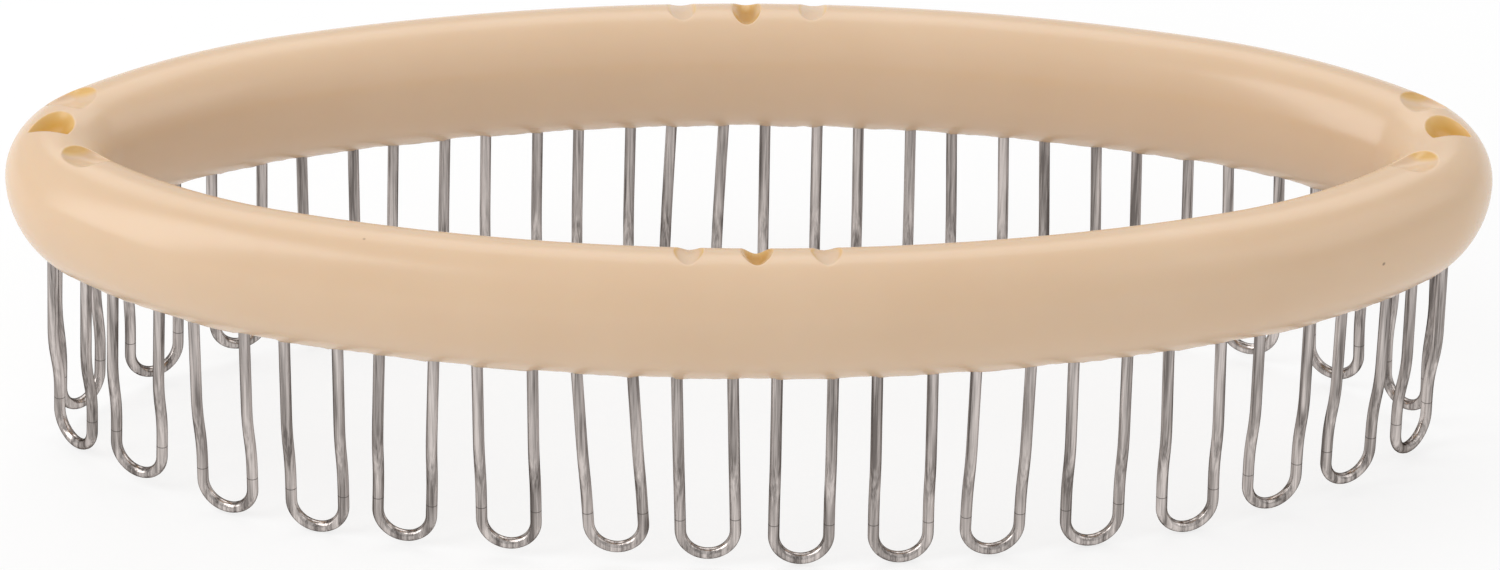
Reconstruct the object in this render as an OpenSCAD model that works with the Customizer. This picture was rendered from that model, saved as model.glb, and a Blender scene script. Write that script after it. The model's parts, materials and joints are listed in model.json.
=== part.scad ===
// Pocket weaving loom: an oval moulded rim that holds a ring of wire loops.
// Millimetres, +Z up. X runs along the rim, and the tips of the loops stand on z = 0.
// The rim's oval and its section are chains of tangent arcs, so each stretch of
// the rim is one section swept round the centre of its own arc.

/* [Rim outline] */
// Overall length of the rim, over its outer faces
rim_l = 150; // [130:1:190]
// Overall width of the rim, over its outer faces
rim_w = 62.6; // [58:0.2:70]
// Radius of the rim's centre line at each end
end_r = 9.6; // [8.6:0.1:12]
// Angle from the long axis where the end arc meets the shoulder arc
end_angle = 47; // [44:1:50]
// Angle from the long axis where the shoulder arc meets the side arc
side_angle = 72; // [69:1:75]

/* [Rim section] */
// Width of the tube, whose top is half round
tube_w = 10.4; // [9.6:0.1:11.6]
// Height of the tube
tube_h = 13; // [11:0.1:15]
// Width of the flat underside, which the legs of the loops come out of
base_w = 3.2; // [2.4:0.1:5]
// How far the shoulder stretches of the rim lie under the end and side stretches
seam_step = 0.05; // [0.04:0.01:0.1]

/* [Loops] */
// Number of wire loops round the rim
loops = 32; // [24:4:36]
// Diameter of the wire
wire_d = 1.15; // [0.8:0.05:1.4]
// Distance between the two legs of a loop, centre to centre
leg_pitch = 5.5; // [4.6:0.1:6]
// How far the lowest loops stand below the rim
loop_drop = 23; // [18:0.2:28]
// Length of each leg that is moulded into the rim
leg_grip = 7.5; // [5:0.5:9]
// Height of the lower end of the offset bend above the tip of the loop
bend_h = 5.5; // [5:0.1:7]
// Height that the offset bend takes
bend_l = 8; // [6:0.2:9]
// How far the offset bend sets the tip towards the middle of the loom
bend_set = 0.8; // [0.4:0.1:1.2]
// Length of straight wire between the two curves of the offset bend
bend_mid = 1; // [0.6:0.1:2]
// Angle by which the loops beside each end of the rim are turned to face the long sides
end_turn = 12; // [0:1:15]
// How much thicker the wire is through a curve
swell = 0.01; // [0.01:0.01:0.03]
// Gap left all round a leg in its socket
leg_gap = 0.03; // [0.02:0.01:0.05]

/* [Notches] */
// Width of a notch, along the rim
notch_w = 3.4; // [2.8:0.1:3.8]
// Length of a notch, across the crown
notch_l = 4.8; // [4:0.1:5.4]
// Depth of the middle notch of each group
notch_deep = 1.2; // [1:0.1:1.5]
// Depth of the notch on each side of it
notch_shallow = 0.7; // [0.6:0.05:0.9]
// Distance between neighbouring notches along the rim
notch_pitch = 7; // [5.5:0.1:8]

/* [Hidden] */
$fn = 96;

// Lean of each loop along the rim in degrees, chosen by eye, in rows of eight for the four quarters
leans = [
    -3, -3, -2.5, -1.5, -2, -1.5, -0.5, 0,
    2.5, 1, 1, 1.5, 0, 1.5, 2.5, 4,
    -4, -3, 0, 0, -2, 0.5, 3.5, 1.5,
    0, 0.5, -1, 0.5, 1.5, 0.5, 0, 1.5
];

// How much deeper than the lowest loops each one sits in the rim, in the same rows
sinks = [
    1.2, 0.8, 0.8, 0.2, 0, 0.6, 0.4, 0.8,
    0.2, 0.6, 0.4, 0, 0.2, 1.2, 0.8, 1.2,
    0.2, 1, 0.2, 0, 0.4, 0.8, 1.2, 0.8,
    0.2, 0, 0.2, 0, 0, 0.8, 0.8, 0.4
];

// How far pieces of the rim and of the wire run into each other where they join
seam_lap = 0.5;
wire_lap = 0.1;

// Node names, with two digits so that they sort in order round the rim
function loop_name(i) = str("wire_loop_", i < 10 ? "0" : "", i);

// Small geometry
function unit(a) = [cos(a), sin(a)];
function arc_length(r, a) = r * a * PI / 180;
function swept_angle(r, s) = s / r * 180 / PI;

// Radius of the arc that rises by h over a chord w
function arc_radius(w, h) = (w * w / 4 + h * h) / (2 * h);

// Centre line: the end, shoulder and side arcs of the first quarter
mid_a = (rim_l - tube_w) / 2;
mid_b = (rim_w - tube_w) / 2;
turn = (1 - sin(side_angle)) / cos(side_angle);
shoulder_r = (mid_b - end_r * sin(end_angle) - turn * (mid_a - end_r * (1 - cos(end_angle))))
    / (1 - sin(end_angle) - turn * cos(end_angle));
end_c = [mid_a - end_r, 0];
shoulder_c = end_c + (end_r - shoulder_r) * unit(end_angle);
side_r = shoulder_r + shoulder_c[0] / cos(side_angle);
side_c = shoulder_c + (shoulder_r - side_r) * unit(side_angle);

// Length of the centre line from the +X end to the end of each arc
end_s = arc_length(end_r, end_angle);
shoulder_s = end_s + arc_length(shoulder_r, side_angle - end_angle);
quarter_s = shoulder_s + arc_length(side_r, 90 - side_angle);

// Facing angle at a length along the first quarter, and the point that faces an angle
function turned(s) =
    s < end_s ? swept_angle(end_r, s) :
    s < shoulder_s ? end_angle + swept_angle(shoulder_r, s - end_s) :
    side_angle + swept_angle(side_r, s - shoulder_s);
function point_at(a) =
    a < end_angle ? end_c + end_r * unit(a) :
    a < side_angle ? shoulder_c + shoulder_r * unit(a) :
    side_c + side_r * unit(a);

// The same two for a length that runs right round the rim
function quarter_no(s) = floor(s / quarter_s);
function from_axis(s) =
    let (n = quarter_no(s), t = s - n * quarter_s)
    n % 2 == 0 ? t : quarter_s - t;
function facing(s) =
    let (n = (quarter_no(s) + 4) % 4, a = turned(from_axis(s)))
    n == 0 ? a : n == 1 ? 180 - a : n == 2 ? 180 + a : -a;
function place(s) =
    let (n = (quarter_no(s) + 4) % 4, p = point_at(turned(from_axis(s))))
    [n == 1 || n == 2 ? -p[0] : p[0], n > 1 ? -p[1] : p[1]];

// Heights
under_z = loop_drop;
top_r = tube_w / 2;
flank_h = tube_h - top_r;
wide_z = under_z + flank_h;
crest_z = under_z + tube_h;

// Section about its widest line: a half-round top on two flanks that draw in to the underside
flank_r = arc_radius(2 * flank_h, (tube_w - base_w) / 2);
module tube_section(inset) {
    intersection() {
        circle(top_r - inset);
        translate([-tube_w, 0]) square([2 * tube_w, tube_w]);
    }
    intersection() {
        translate([top_r - flank_r, 0]) circle(flank_r - inset);
        translate([flank_r - top_r, 0]) circle(flank_r - inset);
        translate([-tube_w, inset - flank_h]) square([2 * tube_w, flank_h - inset]);
    }
}

// One stretch of the rim: the section swept round c at radius r between two facing angles
module stretch(c, r, from, to, inset) {
    translate(c) rotate(from) rotate_extrude(angle = to - from) translate([r, 0]) tube_section(inset);
}

// The shoulder stretches reach a little way into the end and side stretches
module rim_body() {
    lap = swept_angle(shoulder_r, seam_lap);
    translate([0, 0, wide_z])
        for (half = [0, 180])
            rotate(half) {
                stretch(end_c, end_r, -end_angle, end_angle, 0);
                stretch(side_c, side_r, side_angle, 180 - side_angle, 0);
                stretch(shoulder_c, shoulder_r, end_angle - lap, side_angle + lap, seam_step);
                mirror([1, 0, 0])
                    stretch(shoulder_c, shoulder_r, end_angle - lap, side_angle + lap, seam_step);
            }
}

// Scooped notch across the crown, with a round floor both along and across the rim
crown_drop = top_r - sqrt(top_r * top_r - notch_l * notch_l / 4);
module notch(s, depth) {
    bit_r = arc_radius(notch_w, depth);
    floor_r = arc_radius(notch_l, depth - crown_drop);
    translate(place(s)) rotate(facing(s))
        translate([0, 0, crest_z - depth + floor_r]) rotate([90, 0, 0])
            rotate_extrude() translate([floor_r - bit_r, 0]) circle(bit_r);
}

// Four groups of three notches, at the ends of both axes
module notches() {
    for (group = [0:3]) {
        notch(group * quarter_s, notch_deep);
        notch(group * quarter_s + notch_pitch, notch_shallow);
        notch(group * quarter_s - notch_pitch, notch_shallow);
    }
}

// Turn of a loop about its foot, which halves from each loop to the next, away from the ends
function turn_of(i) =
    let (n = floor((i - 1) * 4 / loops), k = (i - 1) % (loops / 4))
    n % 2 == 0 ? end_turn / pow(2, k) : -end_turn / pow(2, loops / 4 - 1 - k);

// Frame of one loop: x outwards, y along the rim, leaning about the foot of the loop
module at_loop(i) {
    s = (i - 0.5) / loops * 4 * quarter_s;
    lean = leans[(i - 1) % len(leans)];
    sink = sinks[(i - 1) % len(sinks)];
    translate(concat(place(s), under_z)) rotate(facing(s) + turn_of(i)) rotate([lean, 0, 0])
        translate([0, 0, sink - under_z])
            children();
}

// Blind sockets that the two legs of a loop fill, cut from well below the underside
socket_start = 2 * wire_d + max(sinks);
module sockets() {
    for (side = [-1, 1])
        translate([0, side * leg_pitch / 2, under_z - socket_start])
            cylinder(d = wire_d + 2 * leg_gap, h = socket_start + leg_grip + leg_gap);
}

// Heights of the curves in the wire, from the tip up
bow_r = leg_pitch / 2;
bow_z = bow_r + (wire_d + swell) / 2;

// Angle and radius of the offset bend, so that its two curves and the straight fill its height
bend_angle = 2 * atan(bend_set / (bend_l + bend_mid));
bend_r = (bend_l - bend_mid * cos(bend_angle)) / (2 * sin(bend_angle));
bend_top = bend_h + bend_l;

// Straight wire from z0 to z1, which laps into the curve at its lower or upper end
module straight(z0, z1) {
    translate([0, 0, z0]) cylinder(d = wire_d, h = z1 - z0, $fn = 32);
}

// Wire curved in the XZ plane round the origin, at radius r, by angle from the angle from
module curve(r, from, angle) {
    rotate([90, 0, 0]) rotate(from) rotate_extrude(angle = angle) translate([r, 0])
        circle(d = wire_d + swell, $fn = 32);
}

// One leg, from its grip in the rim, through the offset bend, down to the bow
module leg() {
    straight(bend_top - wire_lap, under_z + leg_grip);
    translate([-bend_r, 0, bend_top]) {
        curve(bend_r, -bend_angle, bend_angle);
        rotate([0, bend_angle, 0]) translate([bend_r, 0, 0]) straight(-bend_mid - wire_lap, wire_lap);
    }
    translate([bend_r - bend_set, 0, bend_h]) curve(bend_r, 180 - bend_angle, bend_angle);
    translate([-bend_set, 0, 0]) straight(bow_z - wire_lap, bend_h + wire_lap);
}

module wire_loop() {
    for (side = [-1, 1])
        translate([0, side * bow_r, 0]) leg();
    translate([-bend_set, 0, bow_z]) rotate(90) curve(bow_r, 180, 180);
}

module rim() {
    color("wheat") difference() {
        rim_body();
        notches();
        for (i = [1:loops])
            at_loop(i) sockets();
    }
}

module loop_node(i) {
    color("silver") at_loop(i) wire_loop();
}

rim();
for (i = [1:loops])
    loop_node(i);
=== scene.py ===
# %% [markdown]
# # A pocket weaving loom
#
# This small hand loom is an oval rim, moulded in a cream plastic, with a ring of wire loops
# moulded into its underside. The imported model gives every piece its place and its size. This
# script dresses it: it remakes the rim and the wire loops with smooth surfaces and soft edges,
# and then gives them a plastic, a wire, a floor, some light and a camera.

import json
import math

import bmesh
import bpy
import numpy as np
from mathutils import Matrix, Vector, noise

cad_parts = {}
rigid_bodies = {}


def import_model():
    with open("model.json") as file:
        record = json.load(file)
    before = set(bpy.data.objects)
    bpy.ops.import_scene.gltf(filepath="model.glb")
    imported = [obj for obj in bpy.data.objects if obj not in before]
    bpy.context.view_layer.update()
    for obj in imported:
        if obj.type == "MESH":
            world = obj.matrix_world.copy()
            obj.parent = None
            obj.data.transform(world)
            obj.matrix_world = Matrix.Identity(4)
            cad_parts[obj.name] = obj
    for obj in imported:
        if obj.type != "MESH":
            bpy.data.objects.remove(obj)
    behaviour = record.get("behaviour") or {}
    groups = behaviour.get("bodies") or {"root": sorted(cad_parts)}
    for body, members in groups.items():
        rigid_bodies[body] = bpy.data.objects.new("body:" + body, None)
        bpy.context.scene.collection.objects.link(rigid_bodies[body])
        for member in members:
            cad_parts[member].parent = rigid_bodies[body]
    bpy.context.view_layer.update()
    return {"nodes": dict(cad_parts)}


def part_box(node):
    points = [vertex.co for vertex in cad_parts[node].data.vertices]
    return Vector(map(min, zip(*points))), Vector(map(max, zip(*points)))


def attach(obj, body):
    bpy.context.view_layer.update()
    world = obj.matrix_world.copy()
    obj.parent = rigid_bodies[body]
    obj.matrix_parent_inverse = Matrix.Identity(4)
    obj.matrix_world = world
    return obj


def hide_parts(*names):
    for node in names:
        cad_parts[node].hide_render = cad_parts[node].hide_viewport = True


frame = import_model()
scene = bpy.context.scene
print("nodes in the packed model:", len(frame["nodes"]))

# %% [markdown]
# ## Sizes
#
# Blender works in metres here, so small sizes are written as millimetres times `MM`. The
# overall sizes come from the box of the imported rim. The others repeat the construction: the
# centre line of the rim is a chain of three arcs in each quarter, and each arc starts where
# the one before it ends, in the same direction, so that the rim has no corner.

# %% Sizes of the rim
MM = 0.001
rim_low, rim_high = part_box("rim")
RIM_L = rim_high.x - rim_low.x
RIM_W = rim_high.y - rim_low.y
UNDER_Z = rim_low.z
CREST_Z = rim_high.z
TUBE_W = 10.4 * MM
BASE_W = 3.2 * MM
END_R = 9.6 * MM
END_ANGLE = math.radians(47)
SIDE_ANGLE = math.radians(72)

TOP_R = TUBE_W / 2
FLANK_H = CREST_Z - UNDER_Z - TOP_R
WIDE_Z = UNDER_Z + FLANK_H
print("rim %.1f by %.1f mm, crest at %.1f mm" % (RIM_L / MM, RIM_W / MM, CREST_Z / MM))


# %% Centre line of the rim
def unit(angle):
    """Direction in plan at an angle from the long axis."""
    return Vector((math.cos(angle), math.sin(angle), 0))


MID_A = (RIM_L - TUBE_W) / 2
MID_B = (RIM_W - TUBE_W) / 2
TURN = (1 - math.sin(SIDE_ANGLE)) / math.cos(SIDE_ANGLE)
SHOULDER_R = (
    MID_B - END_R * math.sin(END_ANGLE) - TURN * (MID_A - END_R * (1 - math.cos(END_ANGLE)))
) / (1 - math.sin(END_ANGLE) - TURN * math.cos(END_ANGLE))
END_C = Vector((MID_A - END_R, 0, 0))
SHOULDER_C = END_C + (END_R - SHOULDER_R) * unit(END_ANGLE)
SIDE_R = SHOULDER_R + SHOULDER_C.x / math.cos(SIDE_ANGLE)
SIDE_C = SHOULDER_C + (SHOULDER_R - SIDE_R) * unit(SIDE_ANGLE)

# each arc: its centre, its radius and the angles that it faces at its start and its end
ARCS = [
    (END_C, END_R, 0, END_ANGLE),
    (SHOULDER_C, SHOULDER_R, END_ANGLE, SIDE_ANGLE),
    (SIDE_C, SIDE_R, SIDE_ANGLE, math.pi / 2),
]
QUARTER_L = sum(radius * (stop - start) for _, radius, start, stop in ARCS)
print("centre line, one quarter: %.2f mm" % (QUARTER_L / MM))


def point_on_rim(length):
    """Point on the centre line, and the angle that it faces, at a length round the rim."""
    quarter = math.floor(length / QUARTER_L)
    left = length - quarter * QUARTER_L
    if quarter % 2:
        left = QUARTER_L - left
    for centre, radius, start, stop in ARCS:
        if left <= radius * (stop - start) or stop == math.pi / 2:
            facing = start + left / radius
            point = centre + radius * unit(facing)
            break
        left -= radius * (stop - start)
    if quarter % 4 in (1, 2):
        point, facing = Vector((-point.x, point.y, 0)), math.pi - facing
    if quarter % 4 in (2, 3):
        point, facing = Vector((point.x, -point.y, 0)), -facing
    return point, facing


# %% [markdown]
# ## Helpers for new pieces
#
# Every new piece is a mesh whose object stays at the origin. `finish_piece` turns a bmesh into
# such an object, lets it move with the model, and hides the imported nodes that it replaces.


# %% Make a piece from a bmesh
def finish_piece(name, bm, replaced=()):
    """A smooth-shaded object from a bmesh, riding on the model."""
    mesh = bpy.data.meshes.new(name)
    bm.to_mesh(mesh)
    bm.free()
    mesh.polygons.foreach_set("use_smooth", [True] * len(mesh.polygons))
    piece = bpy.data.objects.new(name, mesh)
    scene.collection.objects.link(piece)
    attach(piece, "root")
    if replaced:
        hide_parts(*replaced)
    return piece


def ring_of(bm, points):
    """A closed ring of edges through some points, as geometry for an extrude or a spin."""
    verts = [bm.verts.new(point) for point in points]
    edges = [bm.edges.new(pair) for pair in zip(verts, verts[1:] + verts[:1])]
    return verts + edges


def spin_ring(bm, ring, centre, axis, angle, steps):
    """Turns a ring about an axis through a centre, leaves a surface behind it, and
    returns the ring at the end."""
    spun = bmesh.ops.spin(
        bm, geom=ring, cent=centre, axis=axis, angle=angle, steps=steps, use_merge=False
    )
    return spun["geom_last"]


def push_ring(bm, ring, move, steps):
    """Pushes a ring along a straight line in some steps and returns the ring at the end."""
    for _ in range(steps):
        edges = [item for item in ring if isinstance(item, bmesh.types.BMEdge)]
        ring = bmesh.ops.extrude_edge_only(bm, edges=edges)["geom"]
        verts = [item for item in ring if isinstance(item, bmesh.types.BMVert)]
        bmesh.ops.translate(bm, verts=verts, vec=move / steps)
        ring = [item for item in ring if not isinstance(item, bmesh.types.BMFace)]
    return ring


# %% [markdown]
# ## The rim
#
# The real rim is one moulding. Its section is a half circle over two flanks that draw in to a
# narrow underside. A Curve object with a bevel could sweep this section, but the spin operator
# fits an outline made of arcs: it turns the section round the centre of each arc in turn, and
# every ring at the end of one spin is the start of the next. One quarter is spun and then
# mirrored twice. The rings are closer together near the notches, where the surface needs more
# detail.

# %% Section of the tube
TOP_STEPS = 32
FLANK_STEPS = 20
BASE_STEPS = 6


def tube_section():
    """Points round the section, across and up from the middle of its widest line."""
    draw_in = (TUBE_W - BASE_W) / 2
    flank_r = (FLANK_H**2 + draw_in**2) / (2 * draw_in)
    flank_turn = math.asin(FLANK_H / flank_r)
    turns = [flank_turn * i / FLANK_STEPS for i in range(FLANK_STEPS)]
    left_c = Vector((flank_r - TOP_R, 0, 0))
    top = [unit(math.pi * i / TOP_STEPS) * TOP_R for i in range(TOP_STEPS)]
    left = [left_c - unit(turn) * flank_r for turn in turns]
    base = [Vector((BASE_W * (i / BASE_STEPS - 0.5), -FLANK_H, 0)) for i in range(BASE_STEPS + 1)]
    right = [Vector((-point.x, point.y, 0)) for point in reversed(left[1:])]
    return top + left + base + right


# %% Spin one quarter of the rim and mirror it
RING_STEP = 0.45 * MM


def spin_quarter(bm):
    """The rim from the end of its long axis to the end of its short axis."""
    ring = ring_of(bm, [(MID_A + p.x, 0, WIDE_Z + p.y) for p in tube_section()])
    for centre, radius, start, stop in ARCS:
        steps = math.ceil(radius * (stop - start) / RING_STEP)
        ring = spin_ring(bm, ring, centre, (0, 0, 1), stop - start, steps)


def mirrored(bm, axis):
    """Mirrors everything in a bmesh across a plane through the origin."""
    everything = bm.verts[:] + bm.edges[:] + bm.faces[:]
    bmesh.ops.mirror(bm, geom=everything, merge_dist=0.01 * MM, axis=axis)


bm = bmesh.new()
spin_quarter(bm)
mirrored(bm, "X")
mirrored(bm, "Y")
print("rim: %d faces, open edges: %d" % (len(bm.faces), sum(e.is_boundary for e in bm.edges)))

# %% [markdown]
# ## Notches
#
# At the ends of both axes the crown has three notches, filed across it with a round tool, and
# the middle one is deeper. A boolean could cut them, but it leaves hard, uneven lips. Here the
# faces round each notch are divided finely instead, and their points are lowered. The file was
# rolled over the crown, so each notch is a shallow bowl that follows it, and a soft minimum
# rounds its lips.

# %% Sizes of the notches
NOTCH_POWER = 2.5
LIP_R = 0.1 * MM
DIVISIONS = 4
MARGIN = 0.5 * MM

# the four groups, one at the start of each quarter. Each notch: its place along the rim, its
# twist in degrees, how square its outline is, how far it reaches on each side along the rim, its
# length, its shift outwards, its depth, and how much deeper it is towards the back of the loom
GROUPS = [
    [
        (-0.6, 25, 2.2, 0.4, 3.9, 4.5, 0.85, 1.3, 0),
        (-8.4, 0, 2.3, 1.8, 3.0, 4.5, -0.9, 0.75, 0.35),
        (5.6, 0, 2.3, 1.3, 3.2, 4.8, 0.9, 0.75, 0.35),
    ],
    [
        (0, 0, 2.1, 1.55, 1.55, 5.8, 0.5, 1.25, 0),
        (-6.9, 0, 2.2, 1.5, 1.5, 5.2, 0.8, 0.6, 0),
        (6.7, 0, 2.2, 1.5, 1.5, 5.2, 0.8, 0.6, 0),
    ],
    [
        (0.6, -25, 2.2, 3.9, 0.4, 4.5, 0.75, 1.3, 0),
        (8.2, 0, 2.3, 3.2, 1.5, 4.5, -1.0, 0.75, 0.35),
        (-5.4, 0, 2.3, 3.6, 1.3, 4.8, 0.9, 0.75, 0.35),
    ],
    [
        (0, 0, 1.85, 1.6, 1.6, 5.8, -1.35, 1.2, 0),
        (-6.65, 0, 1.8, 1.5, 1.5, 5.4, -1.05, 0.6, 0),
        (6.8, 0, 1.8, 1.55, 1.55, 5.4, -1.05, 0.6, 0),
    ],
]
NOTCHES = []
for quarter, group in enumerate(GROUPS):
    for place, twist, square, *lengths, tilt in group:
        where = quarter * QUARTER_L + place * MM
        NOTCHES.append((where, math.radians(twist), square, *[length * MM for length in lengths], tilt))


def along_and_across(points, length, twist, outwards):
    """How far each point lies along and across a notch from its middle."""
    place, facing = point_on_rim(length)
    from_middle = points[:, :2] - np.array((place + unit(facing) * outwards)[:2])
    along = from_middle @ np.array(unit(facing + twist + math.pi / 2)[:2])
    across = from_middle @ np.array(unit(facing + twist)[:2])
    return along, across


# %% Divide the faces round each notch
centres = np.array([face.calc_center_median() for face in bm.faces])
chosen = np.zeros(len(centres), bool)
for where, twist, _, before, after, long, outwards, _, _ in NOTCHES:
    along, across = along_and_across(centres, where, twist, outwards)
    chosen |= (-before - MARGIN < along) & (along < after + MARGIN) & (np.abs(across) < long / 2 + MARGIN)
chosen &= centres[:, 2] > WIDE_Z + TOP_R * 0.45
near = {edge for face, pick in zip(bm.faces, chosen) if pick for edge in face.edges}
bmesh.ops.subdivide_edges(bm, edges=list(near), cuts=DIVISIONS, use_grid_fill=True)
bmesh.ops.recalc_face_normals(bm, faces=bm.faces)
rim = finish_piece("rim_moulding", bm, ["rim"])
points = np.zeros(len(rim.data.vertices) * 3)
rim.data.vertices.foreach_get("co", points)
points = points.reshape(-1, 3)
print("rim with finer faces: %d points" % len(points))


# %% Lower the points into the notches
def rim_place(points):
    """How far each point lies along its quarter of the rim, and outwards from the centre line."""
    x, y = np.abs(points[:, 0]), np.abs(points[:, 1])
    along, offset, done = np.zeros(len(points)), np.zeros(len(points)), 0
    for centre, radius, start, stop in ARCS:
        dx, dy = x - centre.x, y - centre.y
        angle = np.arctan2(dy, dx)
        here = angle >= start - 1e-9
        along = np.where(here, done + (angle - start) * radius, along)
        offset = np.where(here, np.hypot(dx, dy) - radius, offset)
        done += radius * (stop - start)
    return along, offset


def soft_min(a, b, soft):
    """The lower of two heights, with the corner between them rounded."""
    mix = np.clip(0.5 + 0.5 * (b - a) / soft, 0, 1)
    return b + (a - b) * mix - soft * mix * (1 - mix)


place_along, offset = rim_place(points)
crown = points[:, 2] > WIDE_Z
points[crown, 2] = WIDE_Z + np.sqrt(np.maximum(TOP_R**2 - offset[crown] ** 2, 0))
whole = points[:, 2].copy()
painted_glow_shade = np.zeros(len(points))
for where, twist, square, before, after, long, outwards, deep, tilt in NOTCHES:
    along, across = along_and_across(points, where, twist, outwards)
    reach = np.where(along < 0, before, after)
    aside, away = np.abs(along) / reach, np.abs(2 * across / long)
    out = (aside**square + away**square) ** (1 / square)
    inside = crown & (out < 1.4)
    middle = deep * (1 + tilt * (points[:, 1] - point_on_rim(where)[0].y) / MM)
    floor = points[:, 2] - middle * (1 - out**NOTCH_POWER)
    lowered = np.where(inside, soft_min(points[:, 2], floor, LIP_R), points[:, 2])
    depth = points[:, 2] - lowered
    slope = middle * NOTCH_POWER * out ** (NOTCH_POWER - square) * aside ** (square - 1) / reach
    # wall and bowl set the painted glow and painted shade: orange on steep notch walls, and in the deep
    # notches an orange that darkens with depth
    wall = 0.45 * np.clip((slope - 0.55) / 0.35, 0, 1) + 0.25 * np.clip((slope - 1) / 0.5, 0, 1)
    bowl = 0.4 + 0.6 * np.clip(depth / (1.1 * MM), 0, 1) if deep > 1 * MM else 0
    painted_glow_shade = np.maximum(painted_glow_shade, np.clip(depth / (0.1 * MM), 0, 1) * np.maximum(wall, bowl))
    points[:, 2] = lowered
print("points in notches:", int((whole - points[:, 2] > 0.02 * MM).sum()))

# %% [markdown]
# ## Lower edges
#
# The lower edge of a real moulding is never quite straight. A little plastic crept out between
# the halves of the mould and was trimmed by hand, and between the legs of each loop and beside
# each leg it hangs a little lower. The points along both lower edges are moved by a noise with a
# long and a short wave, and are pulled down at the loops.

# %% Shape the lower edges
LOOPS = 32
LEG_PITCH = 5.5 * MM
EDGE_REACH = 0.45 * MM
FLASH_H = 0.17 * MM
HANG_H = 0.1 * MM
DRIP_H = 0.04 * MM
DRIP_W = 0.7 * MM

LOOP_STEP = 4 * QUARTER_L / LOOPS
from_loop = np.abs(place_along % LOOP_STEP - LOOP_STEP / 2)
from_leg = np.abs(from_loop - LEG_PITCH / 2)
from_corner = np.hypot(np.abs(offset) - BASE_W / 2, points[:, 2] - UNDER_Z)
for i in np.nonzero(from_corner < 3 * EDGE_REACH)[0]:
    x, y = points[i, 0], points[i, 1]
    long_wave = noise.noise(Vector((x, y, 0)) * 180)
    short_wave = noise.noise(Vector((x, y, 1)) * 900)
    flash = FLASH_H * max(0, 0.5 - 0.7 * long_wave - 0.6 * short_wave)
    hang = HANG_H if from_loop[i] < LEG_PITCH / 2 else 0
    drip = DRIP_H * math.exp(-((from_leg[i] / DRIP_W) ** 2))
    points[i, 2] += math.exp(-((from_corner[i] / EDGE_REACH) ** 2)) * (flash - hang - drip)

rim.data.vertices.foreach_set("co", points.ravel())
# the painted glow and painted shade of the notches is stored on each point for the plastic
rim.data.attributes.new("painted_glow_shade", "FLOAT", "POINT").data.foreach_set("value", painted_glow_shade)
rim.data.update()

# %% [markdown]
# ## The wire loops
#
# Each loop is a hairpin of round spring wire. Its two legs go up into the rim, and a little
# above the bow an offset bend sets the tip towards the middle of the loom. A curve with a round
# bevel would do, but the same two operators as on the rim show how the wire is really bent: a
# push for each straight length and a spin for each bend.

# %% Sizes of a wire loop
WIRE_R = 1.15 * MM / 2
BEND_H = 5.5 * MM
BEND_L = 8 * MM
BEND_SET = 0.8 * MM
BEND_MID = 1 * MM
END_TURN = 12

# lean of each loop in degrees, and how much deeper than the lowest loops it sits in millimetres
LEANS = [
    -3, -3, -2.5, -1.5, -2, -1.5, -0.5, 0,
    2.5, 1, 1, 1.5, 0, 1.5, 2.5, 4,
    -4, -3, 0, 0, -2, 0.5, 3.5, 1.5,
    0, 0.5, -1, 0.5, 1.5, 0.5, 0, 1.5,
]  # fmt: skip
SINKS = [
    1.2, 0.8, 0.8, 0.2, 0, 0.6, 0.4, 0.8,
    0.2, 0.6, 0.4, 0, 0.2, 1.2, 0.8, 1.2,
    0.2, 1, 0.2, 0, 0.4, 0.8, 1.2, 0.8,
    0.2, 0, 0.2, 0, 0, 0.8, 0.8, 0.4,
]  # fmt: skip

GRIP_SHOWN = 1.5 * MM
BOW_R = LEG_PITCH / 2
BOW_Z = BOW_R + WIRE_R
BEND_ANGLE = 2 * math.atan(BEND_SET / (BEND_L + BEND_MID))
BEND_R = (BEND_L - BEND_MID * math.cos(BEND_ANGLE)) / (2 * math.sin(BEND_ANGLE))
BEND_TOP = BEND_H + BEND_L
WIRE_SIDES = 20


# %% Frame of one loop
def turn_of(number):
    """Turn of a loop about its foot, which halves from loop to loop, away from the ends."""
    quarter, place = divmod(number - 1, LOOPS // 4)
    if quarter % 2 == 0:
        return END_TURN / 2**place
    return -END_TURN / 2 ** (LOOPS // 4 - 1 - place)


def loop_frame(number):
    """Where a loop stands: x outwards, y along the rim, leaning about its foot."""
    place, facing = point_on_rim((number - 0.5) / LOOPS * 4 * QUARTER_L)
    turned = Matrix.Rotation(facing + math.radians(turn_of(number)), 4, "Z")
    lean = Matrix.Rotation(math.radians(LEANS[number - 1]), 4, "X")
    foot = Matrix.Translation(place + Vector((0, 0, UNDER_Z)))
    return foot @ turned @ lean @ Matrix.Translation((0, 0, SINKS[number - 1] * MM - UNDER_Z))


# %% Bend one loop
def bend_leg(bm, ring, heading, side):
    """One leg of a loop. Heading is -1 on the way down to the bow and 1 on the way up."""
    y = side * BOW_R
    upper = ((-BEND_R, y, BEND_TOP), BEND_ANGLE)
    lower = ((BEND_R - BEND_SET, y, BEND_H), -BEND_ANGLE)
    slant = Vector((math.sin(BEND_ANGLE), 0, math.cos(BEND_ANGLE))) * BEND_MID * heading
    high = Vector((0, 0, UNDER_Z + GRIP_SHOWN - BEND_TOP)) * heading
    low = Vector((0, 0, BEND_H - BOW_Z)) * heading
    moves = [high, upper, slant, lower, low]
    for move in moves if heading < 0 else reversed(moves):
        if isinstance(move, Vector):
            ring = push_ring(bm, ring, move, 4)
        else:
            centre, angle = move
            ring = spin_ring(bm, ring, centre, (0, 1, 0), -angle * heading, 5)
    return ring


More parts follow.
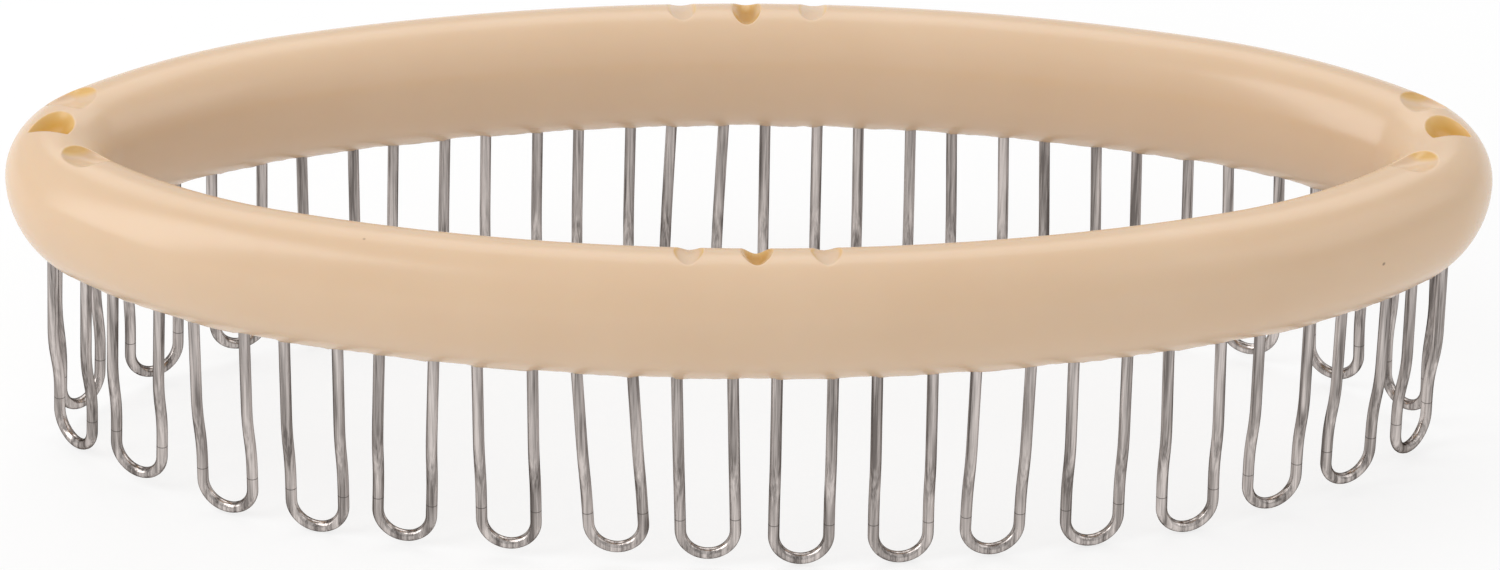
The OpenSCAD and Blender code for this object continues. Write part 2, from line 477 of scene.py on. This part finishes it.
def wire_loop(bm):
    """A whole loop at the origin, with its bow at the bottom."""
    start = Vector((0, -BOW_R, UNDER_Z + GRIP_SHOWN))
    ring = ring_of(bm, [start + unit(2 * math.pi * i / WIRE_SIDES) * WIRE_R for i in range(WIRE_SIDES)])
    ring = bend_leg(bm, ring, -1, -1)
    ring = spin_ring(bm, ring, (-BEND_SET, 0, BOW_Z), (1, 0, 0), math.pi, 28)
    bend_leg(bm, ring, 1, 1)
    bmesh.ops.holes_fill(bm, edges=bm.edges, sides=0)
    bmesh.ops.recalc_face_normals(bm, faces=bm.faces)


def distance_from_tip(point):
    """Length of wire between a point of a loop and the middle of its bow, in millimetres."""
    if point.z < BOW_Z:
        return BOW_R * math.atan2(abs(point.y), BOW_Z - point.z) / MM
    return (BOW_R * math.pi / 2 + point.z - BOW_Z) / MM


for number in range(1, LOOPS + 1):
    name = "wire_loop_%02d" % number
    bm = bmesh.new()
    wire_loop(bm)
    tip_layer = bm.verts.layers.float.new("from_tip")
    for vert in bm.verts:
        vert[tip_layer] = distance_from_tip(vert.co)
    bmesh.ops.transform(bm, matrix=loop_frame(number), verts=bm.verts)
    finish_piece(name + "_wire", bm, [name])
print("wire loops:", LOOPS)

# %% [markdown]
# ## Where the wire leaves the plastic
#
# Plastic that is moulded round a wire creeps a little way down it and leaves a small concave
# collar. Each collar is one short profile spun all the way round its leg.

# %% Collars round the legs
COLLAR_H = 0.4 * MM
COLLAR_STEPS = 5
COLLAR_SPINS = 20


def collar(bm, height):
    """A concave collar under the rim, round an upright wire at the origin."""
    turns = [math.pi / 2 * i / COLLAR_STEPS for i in range(COLLAR_STEPS + 1)]
    profile = [
        Vector((WIRE_R + height * (1 - math.cos(t)), 0, UNDER_Z - height * (1 - math.sin(t))))
        for t in turns
    ]
    profile.append(profile[-1] + Vector((0.05, 0, 0.3)) * MM)
    verts = [bm.verts.new(point) for point in profile]
    edges = [bm.edges.new(pair) for pair in zip(verts, verts[1:])]
    spun = bmesh.ops.spin(
        bm, geom=verts + edges, cent=(0, 0, 0), axis=(0, 0, 1), angle=2 * math.pi,
        steps=COLLAR_SPINS, use_merge=True,
    )
    return spun


bm = bmesh.new()
for number in range(1, LOOPS + 1):
    for side in (-1, 1):
        old = set(bm.verts)
        lump = noise.noise(Vector((number, side, 0.5)) * 3.7)
        collar(bm, COLLAR_H * (1 + 0.4 * lump))
        new = [vert for vert in bm.verts if vert not in old]
        foot = (0, side * BOW_R, -SINKS[number - 1] * MM)
        bmesh.ops.transform(bm, matrix=loop_frame(number) @ Matrix.Translation(foot), verts=new)
bmesh.ops.remove_doubles(bm, verts=bm.verts, dist=0.001 * MM)
bmesh.ops.recalc_face_normals(bm, faces=bm.faces)
collars = finish_piece("wire_collars", bm)
print("collars: %d faces" % len(collars.data.polygons))

# %% [markdown]
# ## Shared pattern
#
# A node group is built once and placed in each material with its own values. This one mixes a
# broad and a fine noise into one soft mask that never repeats.


# %% Node group for a soft mottle
def mottle_group():
    """Group with two scales and a blend between them, which puts out a mask from 0 to 1."""
    group = bpy.data.node_groups.new("soft mottle", "ShaderNodeTree")
    group.interface.new_socket("Vector", in_out="INPUT", socket_type="NodeSocketVector")
    for title, value in (("Broad Scale", 60.0), ("Fine Scale", 600.0), ("Fine Share", 0.3)):
        socket = group.interface.new_socket(title, in_out="INPUT", socket_type="NodeSocketFloat")
        socket.default_value = value
    group.interface.new_socket("Mask", in_out="OUTPUT", socket_type="NodeSocketFloat")
    nodes, links = group.nodes, group.links
    start = nodes.new("NodeGroupInput")
    end = nodes.new("NodeGroupOutput")
    broad = nodes.new("ShaderNodeTexNoise")
    fine = nodes.new("ShaderNodeTexNoise")
    mix = nodes.new("ShaderNodeMix")
    for texture, title, detail in ((broad, "Broad Scale", 3), (fine, "Fine Scale", 5)):
        texture.inputs["Detail"].default_value = detail
        links.new(start.outputs["Vector"], texture.inputs["Vector"])
        links.new(start.outputs[title], texture.inputs["Scale"])
    links.new(start.outputs["Fine Share"], mix.inputs["Factor"])
    links.new(broad.outputs["Fac"], mix.inputs["A"])
    links.new(fine.outputs["Fac"], mix.inputs["B"])
    links.new(mix.outputs["Result"], end.inputs["Mask"])
    return group


MOTTLE = mottle_group()


# %% Helpers that place nodes
def new_material(name):
    """A material with its Principled shader, ready for more nodes."""
    material = bpy.data.materials.new(name)
    material.use_nodes = True
    return material, material.node_tree, material.node_tree.nodes["Principled BSDF"]


def add_mottle(tree, vector, broad, fine, share):
    """Places the mottle group and returns its mask."""
    node = tree.nodes.new("ShaderNodeGroup")
    node.node_tree = MOTTLE
    node.inputs["Broad Scale"].default_value = broad
    node.inputs["Fine Scale"].default_value = fine
    node.inputs["Fine Share"].default_value = share
    tree.links.new(vector, node.inputs["Vector"])
    return node.outputs["Mask"]


def add_ramp(tree, factor, stops):
    """Places a colour ramp and returns its colour. Stops are pairs of a place and a colour."""
    node = tree.nodes.new("ShaderNodeValToRGB")
    ramp = node.color_ramp
    while len(ramp.elements) < len(stops):
        ramp.elements.new(0.5)
    for element, (place, colour) in zip(ramp.elements, stops):
        element.position = place
        element.color = (*colour, 1)
    tree.links.new(factor, node.inputs["Fac"])
    return node.outputs["Color"]


def add_range(tree, value, low, high, to_low, to_high):
    """Places a Map Range node, held inside its limits, and returns its result."""
    node = tree.nodes.new("ShaderNodeMapRange")
    tree.links.new(value, node.inputs["Value"])
    for title, number in zip(("From Min", "From Max", "To Min", "To Max"), (low, high, to_low, to_high)):
        node.inputs[title].default_value = number
    return node.outputs["Result"]


def add_colour_mix(tree, factor, a, b, blend="MIX"):
    """Places a colour mix. The factor and both colours are sockets or plain values."""
    node = tree.nodes.new("ShaderNodeMix")
    node.data_type = "RGBA"
    node.blend_type = blend
    for socket, value in ((node.inputs[0], factor), (node.inputs[6], a), (node.inputs[7], b)):
        if isinstance(value, bpy.types.NodeSocket):
            tree.links.new(value, socket)
        else:
            socket.default_value = value
    return node.outputs[2]


def add_attribute(tree, name):
    """Places an Attribute node and returns its value."""
    node = tree.nodes.new("ShaderNodeAttribute")
    node.attribute_name = name
    return node.outputs["Fac"]


def add_bump(tree, height, distance, strength, normal=None):
    """Places a Bump node and returns its normal."""
    node = tree.nodes.new("ShaderNodeBump")
    node.inputs["Distance"].default_value = distance
    node.inputs["Strength"].default_value = strength
    tree.links.new(height, node.inputs["Height"])
    if normal:
        tree.links.new(normal, node.inputs["Normal"])
    return node.outputs["Normal"]


# %% [markdown]
# ## Cream plastic
#
# The rim is a cream plastic with a soft gloss. Light goes a little way into it, which the subsurface
# setting gives.
# In the notches an orange is painted into its colour as painted glow, for light shining through the thin
# plastic, and it turns darker where a notch is deep, as painted shade. Its colour drifts slightly along
# the rim, and a few dark specks are moulded in.


# %% Plastic
def rim_plastic():
    """Cream moulded plastic with a soft gloss."""
    material, tree, shader = new_material("cream moulded plastic")
    place = tree.nodes.new("ShaderNodeTexCoord").outputs["Object"]
    drift = add_mottle(tree, place, 45, 160, 0.3)
    cream = add_ramp(tree, drift, [(0.3, (0.66, 0.465, 0.30)), (0.7, (0.69, 0.50, 0.335))])
    # painted glow and painted shade: the notches are painted orange, a darker orange where they are deep
    painted_glow_shade = add_attribute(tree, "painted_glow_shade")
    amber = add_ramp(tree, painted_glow_shade, [(0.35, (0.70, 0.45, 0.17)), (1.0, (0.52, 0.25, 0.012))])
    colour = add_colour_mix(tree, add_range(tree, painted_glow_shade, 0.02, 0.4, 0, 1), cream, amber)
    specks = tree.nodes.new("ShaderNodeTexVoronoi")
    specks.inputs["Scale"].default_value = 160
    tree.links.new(place, specks.inputs["Vector"])
    speck = add_range(tree, specks.outputs["Distance"], 0.02, 0.045, 1, 0)
    pick = tree.nodes.new("ShaderNodeSeparateColor")
    tree.links.new(specks.outputs["Color"], pick.inputs["Color"])
    chosen = add_range(tree, pick.outputs["Red"], 0.86, 0.87, 0, 1)
    both = tree.nodes.new("ShaderNodeMath")
    both.operation = "MULTIPLY"
    tree.links.new(speck, both.inputs[0])
    tree.links.new(chosen, both.inputs[1])
    colour = add_colour_mix(tree, both.outputs[0], colour, (0.16, 0.10, 0.06, 1))
    tree.links.new(colour, shader.inputs["Base Color"])
    sheen = add_range(tree, drift, 0.3, 0.7, 0.235, 0.262)
    tree.links.new(sheen, shader.inputs["Roughness"])
    skin = add_mottle(tree, place, 220, 900, 0.2)
    tree.links.new(add_bump(tree, skin, 0.02 * MM, 0.4), shader.inputs["Normal"])
    shader.inputs["Subsurface Weight"].default_value = 0.25
    shader.inputs["Subsurface Radius"].default_value = (1.0, 0.55, 0.25)
    shader.inputs["Subsurface Scale"].default_value = 0.6 * MM
    shader.inputs["IOR"].default_value = 1.54
    return material


# %% [markdown]
# ## Spring wire
#
# The wire is a satin stainless steel. Dark and light streaks run along it: partly the faint lines that
# drawing leaves, partly painted reflection streaks that stand in for dark edges and a bright middle. The
# tool that bent it left a thin dark mark across each leg. The bow is a little brighter, where the yarn
# and the hook rub it.


# %% Wire
MARK_AT = 5.7
MARK_W = 0.07


def loop_wire():
    """Satin drawn steel with painted reflection streaks and a bending mark on each leg."""
    material, tree, shader = new_material("satin spring wire")
    place = tree.nodes.new("ShaderNodeTexCoord").outputs["Object"]
    stretch = tree.nodes.new("ShaderNodeMapping")
    stretch.inputs["Scale"].default_value = (1, 1, 0.03)
    tree.links.new(place, stretch.inputs["Vector"])
    # streaks along the wire: partly drawing lines, partly painted reflection that gives dark and light
    # bands
    drawn_lines_and_painted_streaks = add_mottle(tree, stretch.outputs["Vector"], 1500, 7000, 0.35)
    steel = add_ramp(tree, drawn_lines_and_painted_streaks, [(0.38, (0.17, 0.15, 0.14)), (0.62, (0.68, 0.62, 0.59))])
    tip = add_attribute(tree, "from_tip")
    off = tree.nodes.new("ShaderNodeMath")
    off.operation = "SUBTRACT"
    off.inputs[1].default_value = MARK_AT
    tree.links.new(tip, off.inputs[0])
    away = tree.nodes.new("ShaderNodeMath")
    away.operation = "ABSOLUTE"
    tree.links.new(off.outputs[0], away.inputs[0])
    mark = add_range(tree, away.outputs[0], MARK_W * 0.4, MARK_W, 0.75, 0)
    colour = add_colour_mix(tree, mark, steel, (0.07, 0.06, 0.055, 1))
    tree.links.new(colour, shader.inputs["Base Color"])
    worn = add_range(tree, tip, 2, 6, 0.2, 0.36)
    tree.links.new(worn, shader.inputs["Roughness"])
    tree.links.new(add_bump(tree, drawn_lines_and_painted_streaks, 0.004 * MM, 0.5), shader.inputs["Normal"])
    shader.inputs["Metallic"].default_value = 1
    shader.inputs["Specular Tint"].default_value = (0.15, 0.14, 0.13, 1)
    return material


# %% Put the finishes on
plastic = rim_plastic()
wire = loop_wire()
rim.data.materials.append(plastic)
collars.data.materials.append(plastic)
for number in range(1, LOOPS + 1):
    bpy.data.objects["wire_loop_%02d_wire" % number].data.materials.append(wire)
print("materials:", plastic.name, "and", wire.name)

# %% [markdown]
# ## Floor and light
#
# The loom stands on a pale floor under three soft lamps: one from behind and above, a strong one from the
# left and a weaker one from the right. The world is pale too, so that the wire has something bright to
# reflect.

# %% Floor
FLOOR_SIZE = 3


def shown_as(tree):
    """A factor that is 1 where the camera, a mirror or a glass looks, and 0 for soft light."""
    path = tree.nodes.new("ShaderNodeLightPath")
    factor = path.outputs["Is Camera Ray"]
    for title in ("Is Glossy Ray", "Is Transmission Ray"):
        either = tree.nodes.new("ShaderNodeMath")
        either.operation = "MAXIMUM"
        tree.links.new(factor, either.inputs[0])
        tree.links.new(path.outputs[title], either.inputs[1])
        factor = either.outputs[0]
    return factor


SHADOW_SHARE = 0.25


def pale_floor():
    """Matt off-white paint that the camera sees as nearly white, with a faint shadow."""
    material, tree, shader = new_material("pale floor")
    place = tree.nodes.new("ShaderNodeTexCoord").outputs["Object"]
    drift = add_mottle(tree, place, 4, 60, 0.3)
    paint = add_ramp(tree, drift, [(0.3, (0.86, 0.86, 0.86)), (0.7, (0.89, 0.89, 0.89))])
    tree.links.new(paint, shader.inputs["Base Color"])
    shader.inputs["Roughness"].default_value = 0.9
    white = tree.nodes.new("ShaderNodeEmission")
    share = tree.nodes.new("ShaderNodeMath")
    share.operation = "MULTIPLY"
    share.inputs[1].default_value = 1 - SHADOW_SHARE
    tree.links.new(shown_as(tree), share.inputs[0])
    mix = tree.nodes.new("ShaderNodeMixShader")
    tree.links.new(share.outputs[0], mix.inputs[0])
    tree.links.new(shader.outputs[0], mix.inputs[1])
    tree.links.new(white.outputs[0], mix.inputs[2])
    tree.links.new(mix.outputs[0], tree.nodes["Material Output"].inputs["Surface"])
    return material


bm = bmesh.new()
bmesh.ops.create_grid(bm, x_segments=2, y_segments=2, size=FLOOR_SIZE)
bmesh.ops.translate(bm, verts=bm.verts, vec=(0, 0, -0.02 * MM))
mesh = bpy.data.meshes.new("floor")
bm.to_mesh(mesh)
bm.free()
mesh.materials.append(pale_floor())
floor = bpy.data.objects.new("floor", mesh)
scene.collection.objects.link(floor)

# %% World
world = bpy.data.worlds.new("pale room")
world.use_nodes = True
world.node_tree.nodes["Background"].inputs["Color"].default_value = (1, 1, 1, 1)
world.node_tree.nodes["Background"].inputs["Strength"].default_value = 0.69
scene.world = world


# %% Lamps
def softbox(name, azimuth, elevation, distance, size, radiance):
    """A soft lamp that looks at the loom. Azimuth runs from the back towards the right."""
    lamp = bpy.data.lights.new(name, "AREA")
    lamp.shape = "RECTANGLE"
    lamp.size, lamp.size_y = size
    lamp.energy = radiance * size[0] * size[1] * math.pi
    holder = bpy.data.objects.new(name, lamp)
    azimuth, elevation = math.radians(azimuth), math.radians(elevation)
    level = Vector((math.sin(azimuth), math.cos(azimuth), 0)) * math.cos(elevation)
    towards = level + Vector((0, 0, math.sin(elevation)))
    holder.location = Vector((0, 0, WIDE_Z)) + towards * distance
    holder.rotation_euler = towards.to_track_quat("Z", "Y").to_euler()
    holder.visible_camera = False
    scene.collection.objects.link(holder)


softbox("back softbox", 2, 48, 0.8, (0.85, 0.44), 1.3)
softbox("left softbox", -110, 36, 0.8, (0.42, 0.95), 2.7)
softbox("right softbox", 105, 39, 0.8, (0.6, 0.5), 0.8)

# %% [markdown]
# ## Camera
#
# The camera stands in front of the loom, a little to its left, and looks down on it. Its place,
# its tilt and its lens were worked out from the outline of the rim in the photograph.

# %% Camera
CAMERA_AT = Vector((-14.77, -520.56, 315.74)) * MM
AZIMUTH = math.radians(-1.637)
ELEVATION = math.radians(29.779)
ROLL = math.radians(0.936)
LENS = 141.1

back = Vector(
    (
        math.sin(AZIMUTH) * math.cos(ELEVATION),
        -math.cos(AZIMUTH) * math.cos(ELEVATION),
        math.sin(ELEVATION),
    )
)
level = Vector((math.cos(AZIMUTH), math.sin(AZIMUTH), 0))
rise = back.cross(level)
right = level * math.cos(ROLL) + rise * math.sin(ROLL)
up = rise * math.cos(ROLL) - level * math.sin(ROLL)
camera = bpy.data.objects.new("camera", bpy.data.cameras.new("camera"))
camera.data.lens = LENS
camera.data.sensor_width = 36
camera.data.clip_start = 0.01
turn = Matrix((right, up, back)).transposed().to_4x4()
camera.matrix_world = Matrix.Translation(CAMERA_AT) @ turn
scene.collection.objects.link(camera)
scene.camera = camera
scene.view_settings.view_transform = "Standard"
